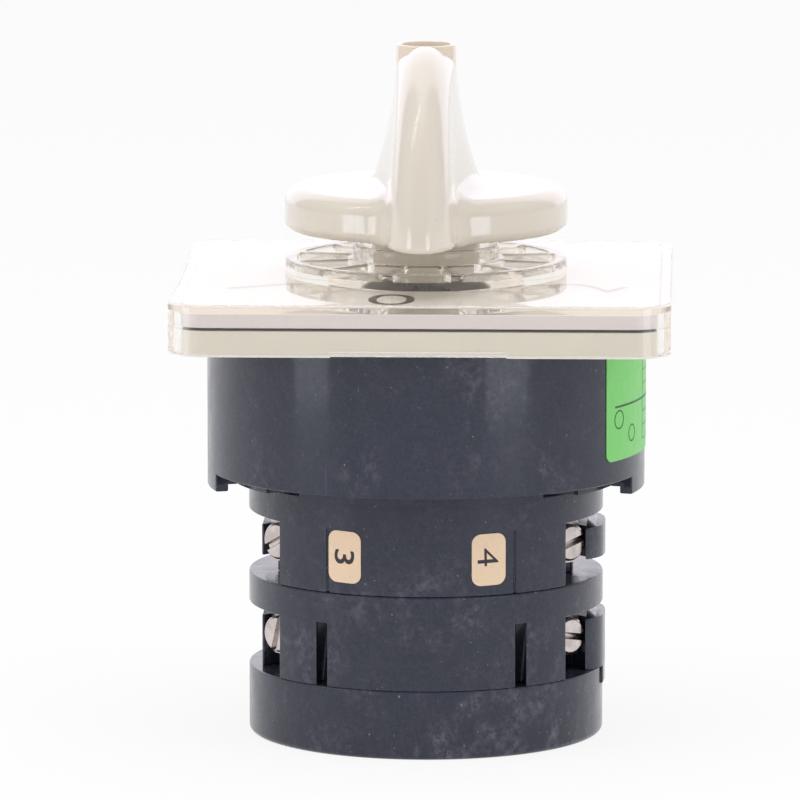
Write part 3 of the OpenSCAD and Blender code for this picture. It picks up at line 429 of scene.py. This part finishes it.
def metal(name, colour, roughness, shift):
    """Plated metal with fine turning marks and dull patches."""
    made = Finish(name, Metallic=1.0)
    patch = made.ramp(made.noise(1.6, 3, 0.6, shift=shift), 0.35, 0.7)
    tone = made.mix(patch, colour, darker(colour, 0.78))
    dull = made.ramp(made.noise(0.5, 3, 0.6, shift=shift + 4), 0.3, 0.75, roughness,
                     roughness + 0.16)
    lines = made.bump(made.noise(0.22, 2, 0.6, (1, 1, 0.2), shift), 0.02, 0.5)
    return made.set(Base_Color=tone, Roughness=dull, Normal=lines)


def legend_foil():
    """Pale brushed silver foil with a fine slanting hatch, and plain greyish edges."""
    made = Finish("legend_foil", Metallic=0.15, Specular_IOR_Level=0.5)
    spot = made.axes(made.coords)
    flat = made.math("GREATER_THAN", made.absolute(made.axes(made.face)["Z"]), 0.9)
    slant = made.math("ADD", spot["X"], made.times(spot["Y"], 2.4))
    turn = made.math("FRACT", made.math("DIVIDE", slant, 0.9 * MM))
    stroke = made.ramp(made.absolute(made.math("SUBTRACT", turn, 0.5)), 0.2, 0.35)
    streaks = made.noise(0.4, 3, 0.6, (1, 0.05, 1))
    silver = made.mix(streaks, srgb(236, 232, 227), srgb(247, 244, 240))
    drawn = made.mix(made.times(stroke, 0.12), silver, srgb(170, 162, 158))
    edge = made.mix(streaks, srgb(216, 207, 206), srgb(226, 217, 216))
    grain = made.ramp(streaks, 0.3, 0.7, 0.3, 0.42)
    return made.set(Base_Color=made.mix(flat, edge, drawn), Roughness=grain,
                    Normal=made.bump(streaks, 0.01, 0.4))


def printed_paper(name, colour, roughness, shift):
    """A printed sticker: even colour with fibres, faint stains and a soft gloss."""
    made = Finish(name, Specular_IOR_Level=0.4)
    fibre = made.ramp(made.noise(0.3, 3, 0.7, shift=shift), 0.3, 0.7)
    tone = made.mix(fibre, colour, darker(colour, 0.93))
    stain = made.ramp(made.noise(2.5, 4, 0.6, shift=shift + 1), 0.55, 0.8)
    aged = made.mix(made.times(stain, 0.25), tone, darker(colour, 0.72))
    gloss = made.ramp(made.noise(1.2, 2, 0.5, shift=shift), 0.3, 0.7, roughness, roughness + 0.1)
    skin = made.bump(made.noise(0.4, 2, 0.6, shift=shift), 0.008, 0.4)
    return made.set(Base_Color=aged, Roughness=gloss, Normal=skin)


finishes = {
    "stage": black_plastic("black_stage", 0.0, 0.7),
    "housing": black_plastic("black_housing", 21.0, 0.55),
    "cap": black_plastic("black_cap", 43.0, 0.9),
    "knob": pale_plastic("knob_beige", srgb(218, 209, 194), 0.97, 0.12, 3.0),
    # painted light: the cup's warmer tone stands in for warm light bouncing inside the cup, on a
    # copy of the knob's own plastic
    "cup": pale_plastic("cup_painted_bounce", srgb(230, 214, 193), 0.96, 0.2, 27.0),
    # the plate's upward faces carry painted shade
    "plate": pale_plastic("plate_beige", srgb(216, 209, 194), 0.96, 0.3, 9.0, painted_shade_top=True),
    "inner": pale_plastic("inner_white", srgb(222, 218, 206), 0.94, 0.35, 15.0),
    "clear": clear_plastic(),
    "foil": legend_foil(),
    "green": printed_paper("green_print", srgb(124, 208, 112), 0.36, 5.0),
    "cream": printed_paper("cream_sticker", srgb(238, 210, 178), 0.42, 8.0),
    "ink": printed_paper("black_ink", srgb(52, 46, 54), 0.4, 12.0),
    "green_ink": printed_paper("green_ink", srgb(36, 92, 44), 0.4, 14.0),
    "nickel": metal("nickel_plate", srgb(214, 204, 200), 0.2, 2.0),
    "steel": metal("spring_steel", srgb(176, 176, 180), 0.24, 6.0),
    "brass": metal("contact_metal", srgb(214, 178, 128), 0.26, 10.0),
}
CAD_FINISH = {
    "end_cap": "cap", "stage_2_frame": "stage", "stage_1_frame": "stage",
    "latch_base": "housing", "latch_housing": "housing", "front_plate": "plate",
    "legend_insert": "foil", "clear_cover": "clear", "rating_label": "green",
    "number_stickers": "cream", "tie_bolts": "nickel", "tie_nuts": "nickel",
    "fixed_contacts_1": "brass", "fixed_contacts_2": "brass", "terminal_screws_1": "nickel",
    "terminal_screws_2": "nickel", "spring_washers": "steel", "clamp_washers": "nickel",
    "handle": "knob", "handle_screw": "nickel", "shaft": "steel", "shaft_clip": "steel",
    "detent_wheel": "inner", "cam_1": "inner", "cam_2": "inner"}


def finish_of(node):
    if node in CAD_FINISH:
        return CAD_FINISH[node]
    if "bridge" in node:
        return "brass"
    return "inner" if "plunger" in node or "carrier" in node else "steel"


def paint_solids():
    for node, cad in nodes.items():
        for slot in cad.material_slots:
            slot.material = finishes[finish_of(node)]


# Pieces

WELD = 2e-6
FLAT_ANGLE = math.radians(0.6)
EDGE_ANGLE = math.radians(28)
END_BAND = 3e-5


def add_piece(name, mesh, finish, body, replaced=()):
    """Puts a mesh in the scene on its body, with its material and the nodes it stands for.
    Without a body it is left unattached."""
    piece = bpy.data.objects.new(name, mesh)
    scene.collection.objects.link(piece)
    mesh.materials.clear()
    mesh.materials.append(finishes[finish])
    if body:
        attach(piece, body)
    if replaced:
        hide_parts(*replaced)
    return piece


def new_mesh(name, bm, sharp_angle=None):
    """A smooth shaded mesh, which stays sharp at edges steeper than the angle in degrees."""
    mesh = bpy.data.meshes.new(name)
    bmesh.ops.recalc_face_normals(bm, faces=bm.faces)
    bm.to_mesh(mesh)
    bm.free()
    mesh.polygons.foreach_set("use_smooth", [True] * len(mesh.polygons))
    if sharp_angle is not None:
        mesh.set_sharp_from_angle(angle=math.radians(sharp_angle))
    return mesh


def copy_of(node):
    """The mesh of a node of the solids, its doubled points welded."""
    bm = bmesh.new()
    bm.from_mesh(nodes[node].data)
    bmesh.ops.remove_doubles(bm, verts=bm.verts, dist=WELD)
    return bm


def bridge(bm, one, two):
    """Joins two rings of points with faces."""
    for i in range(len(one)):
        j = (i + 1) % len(one)
        bm.faces.new((one[i], two[i], two[j], one[j]))


def eased(node, name, width_mm, finish, segments=2, side_share=1.0):
    """A copy of a fixed node with its outer edges rounded over. Those away from its top and
    bottom get a share of the width."""
    low_z, high_z = (corner[2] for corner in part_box(node))
    bm = copy_of(node)
    bmesh.ops.dissolve_limit(bm, angle_limit=FLAT_ANGLE, verts=bm.verts, edges=bm.edges)
    weight = bm.edges.layers.float.new("bevel_weight_edge")
    for edge in bm.edges:
        if len(edge.link_faces) == 2 and edge.calc_face_angle(0) > EDGE_ANGLE:
            level = [v.co.z for v in edge.verts]
            at_end = max(level) < low_z + END_BAND or min(level) > high_z - END_BAND
            edge[weight] = edge.is_convex * (1.0 if at_end else side_share)
            edge.smooth = edge.is_convex
    piece = add_piece(name, new_mesh(name, bm), finish, "frame", (node,))
    bevel = piece.modifiers.new("edges", "BEVEL")
    bevel.width = width_mm * MM
    bevel.segments = segments
    bevel.limit_method = "WEIGHT"
    bevel.use_clamp_overlap = False
    bevel.miter_outer = "MITER_ARC"
    even = piece.modifiers.new("even", "WEIGHTED_NORMAL")
    even.keep_sharp = True
    settled = bpy.context.evaluated_depsgraph_get()
    made = bpy.data.meshes.new_from_object(piece.evaluated_get(settled))
    piece.modifiers.clear()
    piece.data = made
    return piece


def lift(piece, level, reach, rise):
    """Raises the points of a piece that lie within reach of a level, in millimetres."""
    for vertex in piece.data.vertices:
        if abs(vertex.co.z / MM - level) < reach:
            vertex.co.z += rise * MM


def build_mouldings():
    """The outer shells and the terminal screws, with eased edges."""
    eased("end_cap", "cap_moulding", 0.22, "cap")
    for stage in ("stage_2", "stage_1"):
        eased(stage + "_frame", stage + "_moulding", 0.24, "stage",
              side_share=0.5)
    eased("latch_housing", "housing_moulding", 0.2, "housing")
    eased("front_plate", "plate_moulding", 0.3, "plate")
    insert = eased("legend_insert", "insert_sheet", 0.08, "foil")
    lift(insert, CAD_INSERT_TOP_Z, 0.2, ROOF_RISE)
    lift(insert, CAD_INSERT_LOW_Z, 0.2, SEAM_RISE)
    cover = eased("clear_cover", "cover_moulding", 0.35, "clear", 3)
    lift(cover, CAD_ROOF_LOW_Z, 0.45, ROOF_RISE)
    for stage in "12":
        eased("terminal_screws_" + stage, "screws_" + stage, 0.08, "nickel")


def build_barriers():
    """The rounded outer ends of the right side barriers, over the flat ones of the solids."""
    bm = bmesh.new()
    proud = 0.03
    flat_y, end_r, end_x, end_y, root_x = 3.1, 6.38 + proud, 16.87, 2.26, 20.95
    for node, floor_z in (("stage_1_frame", 0), ("stage_2_frame", span("end_cap")[1][2] + proud)):
        reach = span(node)[1][0] + proud
        tips = [v.co.z / MM for v in nodes[node].data.vertices if v.co.x > (reach - 0.2) * MM]
        low, high = max(min(tips), floor_z), max(tips) + proud
        outline = [(math.sqrt(reach ** 2 - y * y), y) for y in np.linspace(-flat_y, flat_y, 13)]
        start = math.atan2(flat_y - end_y, outline[0][0] - end_x)
        stop = math.acos((root_x - end_x) / end_r)
        for a in np.linspace(start, stop, 12)[1:]:
            x, y = end_x + end_r * math.cos(a), end_y + end_r * math.sin(a)
            outline = [(x, -y)] + outline + [(x, y)]
        ends = [[bm.verts.new((x * MM, y * MM, z * MM)) for x, y in outline] for z in (low, high)]
        bm.faces.new(ends[0])
        bm.faces.new(ends[1])
        for i in range(len(outline)):
            j = (i + 1) % len(outline)
            bm.faces.new((ends[0][i], ends[0][j], ends[1][j], ends[1][i]))
    rims = [e for e in bm.edges if abs(e.verts[0].co.z - e.verts[1].co.z) < 1e-7]
    bmesh.ops.bevel(bm, geom=rims, offset=0.15 * MM, segments=2, affect="EDGES", profile=0.5)
    add_piece("side_barriers", new_mesh("side_barriers", bm, 40), "stage", "frame")


def build_springs():
    """Coil springs as smooth shaded copies of the solids' coils, set in the scene without a body.
    """
    for side in ("front", "rear"):
        for node, body in (("spring_1_" + side, "contact_1_" + side),
                           ("spring_2_" + side, "contact_2_" + side),
                           ("detent_spring_" + side, "detent_" + side)):
            name = node + "_coil"
            coil = add_piece(name, new_mesh(name, copy_of(node), 50), "steel", None,
                             (node,))
            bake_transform(coil)


# Handle, as one smooth surface

def soft_union(a, b, k):
    """The union of two fields with a fillet about k wide in the corner."""
    h = np.maximum(k - np.abs(a - b), 0) / k
    return np.minimum(a, b) - h * h * k / 4


def round_both(a, b, r):
    """The part common to two fields, with its edge rounded to radius r."""
    u, v = np.maximum(a + r, 0), np.maximum(b + r, 0)
    return np.sqrt(u * u + v * v) + np.minimum(np.maximum(a + r, b + r), 0) - r


def oval(u, v, a, b):
    """About the distance outside an oval with half axes a and b."""
    k = np.hypot(u / a, v / b)
    slope = np.hypot(u / a ** 2, v / b ** 2)
    return np.where(slope > 1e-6, k * (k - 1) / np.maximum(slope, 1e-6), -np.minimum(a, b))


def grip_half_width(y, z, share):
    """Half the width of the grip: narrow at the nose and tail, flared over the disc."""
    flare = np.clip((GRIP_TOP_Z - z) / (GRIP_TOP_Z - DISC_TOP_Z), 0, 1) ** 1.9
    middle = (7.6 + 6.9 * flare) / 2
    end = (7.8 - 2.0 * share) / 2 + np.where(y > 0, 0.6, 0)
    reach = RIDGE_HALF + np.where(y > 0, TAIL_A, NOSE_A) * np.sqrt(1 - share ** 2)
    along = np.clip(1 - np.abs(y) / np.maximum(reach, 1e-6), 0, 1)
    return end + (middle - end) * along * along * (3 - 2 * along)


def grip_outline(y, z):
    """Distance outside the side view of the grip, oval at the nose and at the tail."""
    dz = np.maximum(z - ELLIPSE_Z, 0)
    nose = oval(np.maximum(-RIDGE_HALF - y, 0), dz, NOSE_A, GRIP_B)
    tail = oval(np.maximum(y - RIDGE_HALF, 0), dz, TAIL_A, GRIP_B - TAIL_DROP)
    return np.where(y < 0, nose, tail)


def handle_field(x, y, z):
    """Signed distance to the handle in millimetres, negative inside."""
    radius = np.hypot(x, y)
    share = np.clip((z - ELLIPSE_Z) / GRIP_B, 0, 1)
    prow = np.where(y < 0, 6.0 - 3.0 * share ** 2, 4.0 - 1.2 * share)
    half = grip_half_width(y, z, share)
    depth = np.maximum(grip_outline(y, z) + prow, 0)
    grip = np.where(depth > 0, oval(np.abs(x), depth, half, prow), np.abs(x) - half)
    grip = round_both(grip, DISC_Z - z, 0.4)
    disc = round_both(radius - DISC_R, z - DISC_TOP_Z, 2.2)
    chamfer = (radius - DISC_R + DISC_Z + 0.75 - z) * 0.7071
    disc = round_both(disc, chamfer, 0.15)
    disc = round_both(disc, DISC_Z - z, 0.15)
    whole = soft_union(grip, disc, 2.2)
    neck = round_both(radius - NECK_R, COVER_TOP_Z + 0.02 - z, 0.2)
    neck = np.maximum(neck, z - DISC_Z - 2)
    whole = soft_union(whole, neck, 0.6)
    bore = np.maximum(radius - BORE_R, CUP_FLOOR_Z - z)
    return np.maximum(whole, -bore)


def surface_net(field, low, high, step):
    """Points and four-sided faces of a field's zero surface on a grid, pulled onto it."""
    axes = [np.arange(a, b + step, step) for a, b in zip(low, high)]
    grid = np.meshgrid(*axes, indexing="ij")
    value = field(*grid)
    inside = value < 0
    shape = tuple(n - 1 for n in value.shape)
    total = np.zeros((*shape, 3))
    count = np.zeros(shape)
    corners = [(i, j, k) for i in (0, 1) for j in (0, 1) for k in (0, 1)]

    def part(array, c):
        return array[c[0]:c[0] + shape[0], c[1]:c[1] + shape[1], c[2]:c[2] + shape[2]]

    for a in corners:
        for axis in range(3):
            if a[axis]:
                continue
            b = tuple(c + (n == axis) for n, c in enumerate(a))
            va, vb = part(value, a), part(value, b)
            crossed = part(inside, a) != part(inside, b)
            share = np.where(crossed, va / np.where(crossed, va - vb, 1), 0)
            for n in range(3):
                total[..., n] += crossed * (a[n] + (share if n == axis else 0))
            count += crossed
    used = count > 0
    index = np.full(shape, -1)
    index[used] = np.arange(used.sum())
    start = np.argwhere(used)
    points = np.array(low) + step * (start + total[used] / count[used][:, None])
    faces = []
    for axis in range(3):
        one, two = [n for n in range(3) if n != axis]
        ahead = np.roll(inside, -1, axis)
        edges = np.argwhere(inside != ahead)
        keep = (edges[:, axis] < shape[axis]) & (edges[:, one] > 0) & (edges[:, two] > 0)
        edges = edges[keep & (edges[:, one] < shape[one]) & (edges[:, two] < shape[two])]
        step_one, step_two = np.eye(3, dtype=int)[one], np.eye(3, dtype=int)[two]
        ring = [edges - step_one - step_two, edges - step_two, edges, edges - step_one]
        faces.append(np.stack([index[tuple(r.T)] for r in ring], 1))
    pulls, h = 5, 0.02
    for _ in range(pulls):
        here = field(*points.T)
        slope = np.stack([(field(*(points + d).T) - field(*(points - d).T)) / (2 * h)
                          for d in np.eye(3) * h], 1)
        move = here[:, None] * slope / np.maximum((slope ** 2).sum(1), 0.2)[:, None]
        points = points - np.clip(move, -step / 2, step / 2)
    return points, np.concatenate(faces)


def add_turned(bm, profile, place, segments):
    """Adds a closed profile turned all round. The place takes an angle and a profile point."""
    turns = [2 * math.pi * s / segments for s in range(segments)]
    rings = [[bm.verts.new(place(a, *point)) for point in profile] for a in turns]
    for here, there in zip(rings, rings[1:] + rings[:1]):
        bridge(bm, here, there)


def upright(a, r, z):
    return (r * math.cos(a) * MM, r * math.sin(a) * MM, z * MM)


def build_handle():
    """The knob, its surface drawn from the field, and the cup with its seat as turned rings."""
    low, high = (-19.2, -28.0, COVER_TOP_Z - 0.7), (19.2, 19.2, CUP_RIM_Z + 0.5)
    points, faces = surface_net(handle_field, low, high, 0.42)
    bm = bmesh.new()
    made = [bm.verts.new(tuple(p * MM)) for p in points]
    for face in faces:
        bm.faces.new([made[i] for i in face])
    add_piece("knob", new_mesh("knob", bm, 50), "knob", "rotor", ("handle",))
    bm = bmesh.new()
    rim, outer, inner, edge, nick = CUP_RIM_Z, 3.9, 3.25, 0.2, 0.06
    wall = [(outer, CUP_FLOOR_Z), (outer, rim - edge), (outer - nick, rim - nick),
            (outer - edge, rim), (inner + edge, rim), (inner + nick, rim - nick),
            (inner, rim - edge), (inner, CUP_FLOOR_Z)]
    add_turned(bm, wall, upright, segments=96)
    seat_r, hole_r, seat_t = inner + 0.2, 1.9, 0.6
    seat = [(seat_r, CUP_FLOOR_Z), (seat_r, CUP_FLOOR_Z - seat_t),
            (hole_r, CUP_FLOOR_Z - seat_t), (hole_r, CUP_FLOOR_Z)]
    add_turned(bm, seat, upright, segments=48)
    add_piece("knob_cup", new_mesh("knob_cup", bm, 50), "cup", "rotor")


# Thin printed pieces. A place takes u along a face, v up it or to its back, and w above it.

def on_round(radius):
    """Places points on a cylinder's face, where u = 0 is the front."""
    def place(u, v, w):
        a = u / radius
        return ((radius + w) * math.sin(a) * MM, -(radius + w) * math.cos(a) * MM, v * MM)
    return place


def on_level(z):
    """Places points on a level face."""
    return lambda u, v, w: (u * MM, v * MM, (z + w) * MM)


def rounded_span(u, u0, u1, v0, v1, corner):
    """The lowest and highest v of a rounded rectangle at u."""
    into = max(0.0, corner - min(u - u0, u1 - u))
    cut = corner - math.sqrt(max(0.0, corner ** 2 - into ** 2))
    return v0 + cut, v1 - cut


def add_sheet(bm, place, u0, u1, v0, v1, corner, low, high, tilt=0.0):
    """A thin solid with rounded corners, made of columns that follow the face under it."""
    columns = max(2, int((u1 - u0) / 0.25))
    marks = [u0 + (u1 - u0) * i / columns for i in range(columns + 1)]
    if corner:
        rounds = [corner * (1 - math.cos(math.pi * i / 16)) for i in range(1, 8)]
        marks = sorted(marks + [u0 + r for r in rounds] + [u1 - r for r in rounds])
    rows = []
    for u in marks:
        a, b = rounded_span(u, u0, u1, v0, v1, corner)
        lean = tilt * (u - (u0 + u1) / 2)
        rows.append([bm.verts.new(place(u, v + lean, w))
                     for v, w in ((a, low), (a, high), (b, high), (b, low))])
    for here, there in zip(rows, rows[1:]):
        bridge(bm, here, there)
    bm.faces.new(rows[0])
    bm.faces.new(rows[-1])


def add_ring(bm, place, u, v, r0, r1, low, high):
    """A thin flat ring round (u, v)."""
    def around(a, r, w):
        return place(u + r * math.cos(a), v + r * math.sin(a), w)

    profile = [(r0, low), (r1, low), (r1, high), (r0, high)]
    add_turned(bm, profile, around, segments=40)


def add_digit(bm, digit, place, u, v, height, turn, low, high, width=1.0, weight=0.0):
    """A numeral of the built-in font, as a thin solid centred at (u, v) and turned."""
    data = bpy.data.curves.new("digit", "FONT")
    data.body = digit
    data.size = 1.0
    data.resolution_u = 8
    data.extrude = 0.5
    data.offset = weight
    holder = bpy.data.objects.new("digit", data)
    scene.collection.objects.link(holder)
    bpy.context.view_layer.update()
    settled = bpy.context.evaluated_depsgraph_get()
    mesh = bpy.data.meshes.new_from_object(holder.evaluated_get(settled))
    bpy.data.objects.remove(holder)
    co = np.array([p.co for p in mesh.vertices])
    middle = (co.max(0) + co.min(0)) / 2
    scale = height / (co.max(0) - co.min(0))[1]
    ca, sa = math.cos(turn), math.sin(turn)
    made = []
    for p in co:
        a, b = (p[0] - middle[0]) * scale * width, (p[1] - middle[1]) * scale
        w = high if p[2] > 0 else low
        made.append(bm.verts.new(place(u + a * ca - b * sa, v + a * sa + b * ca, w)))
    for face in mesh.polygons:
        bm.faces.new([made[i] for i in face.vertices])
    bpy.data.meshes.remove(mesh)


def build_stickers():
    """Two cream stickers with the stage's terminal numbers, set on their sides."""
    place = on_round(STAGE_R)
    half_w, half_h, corner = 2.3, 3.35, 1.2
    digit_h, digit_w = 2.8, 1.25
    bottom, top = LABEL_T - LABEL_LIFT, LABEL_T + 0.025
    sheet, ink = bmesh.new(), bmesh.new()
    for u, rise, digit, aside, up, tilt, weight in ((-10.1, 0.3, "3", 0, 0.0, -0.03, 0.008),
                                                    (8.95, 0.15, "4", -0.15, 0.35, 0.02, -0.004)):
        v = STICKER_Z + rise
        add_sheet(sheet, place, u - half_w, u + half_w, v - half_h, v + half_h, corner,
                  LABEL_LIFT, LABEL_T, tilt)
        add_digit(ink, digit, place, u + aside, v + up, digit_h, -math.pi / 2 + tilt, bottom,
                  top, digit_w, weight)
    add_piece("sticker_sheets", new_mesh("sticker_sheets", sheet, 40), "cream", "frame",
              ("number_stickers",))
    add_piece("sticker_numbers", new_mesh("sticker_numbers", ink, 40), "ink", "frame")


def build_side_label():
    """The green label, with a plain ruled table, a dividing line and two plain rings."""
    place = on_round(HOUSING_R)
    degree = math.radians(1) * HOUSING_R
    line_v = HOUSING_TOP_Z - 8.8
    line_half, rule_half, ring_t, corner = 0.13, 0.05, 0.18, 1.2
    bottom, top = LABEL_T - LABEL_LIFT, LABEL_T + 0.02
    rows, columns = (7.2, 5.4, 3.6, 1.8, -1.8, -3.6, -5.4), (80, 92, 108, 134)
    sheet, ink = bmesh.new(), bmesh.new()
    add_sheet(sheet, place, 56 * degree, 140 * degree, HOUSING_TOP_Z - 15.8, HOUSING_TOP_Z - 0.2,
              corner, LABEL_LIFT, LABEL_T)
    add_sheet(ink, place, 60 * degree, 134 * degree, line_v - line_half, line_v + line_half, 0,
              bottom, top)
    for angle, drop, r in ((62.2, 1.7, 1.25), (70.0, 3.9, 1.15)):
        add_ring(ink, place, angle * degree, line_v - drop, r - ring_t, r, bottom, top)
    for row in rows:
        v = line_v + row
        add_sheet(ink, place, columns[0] * degree, columns[-1] * degree, v - rule_half,
                  v + rule_half, 0, bottom, top)
    for column in columns:
        u = column * degree
        add_sheet(ink, place, u - rule_half, u + rule_half, line_v + rows[-1], line_v + rows[0],
                  0, bottom, top)
    add_piece("side_label", new_mesh("side_label", sheet, 40), "green", "frame",
              ("rating_label",))
    add_piece("side_label_print", new_mesh("side_label_print", ink, 40), "green_ink", "frame")


def build_legend():
    """The position numbers 1 - 0 - 2 on the insert, under the clear cover."""
    ink = bmesh.new()
    radius, height, ink_t, weight = 24.2, 9.6, 0.03, -0.012
    for digit, degrees, shift in (("1", -60, 0.0), ("0", 0, -3.65), ("2", 60, 0.0)):
        a = math.radians(degrees)
        u, v = radius * math.sin(a) + shift, -radius * math.cos(a)
        add_digit(ink, digit, on_level(INSERT_TOP_Z), u, v, height, a, 0.0, ink_t, weight=weight)
    add_piece("legend_numbers", new_mesh("legend_numbers", ink, 40), "ink", "frame")


place_camera()
light_world()
add_lamps()
add_floor()
paint_solids()
build_mouldings()
build_barriers()
build_springs()
build_handle()
build_stickers()
build_side_label()
build_legend()
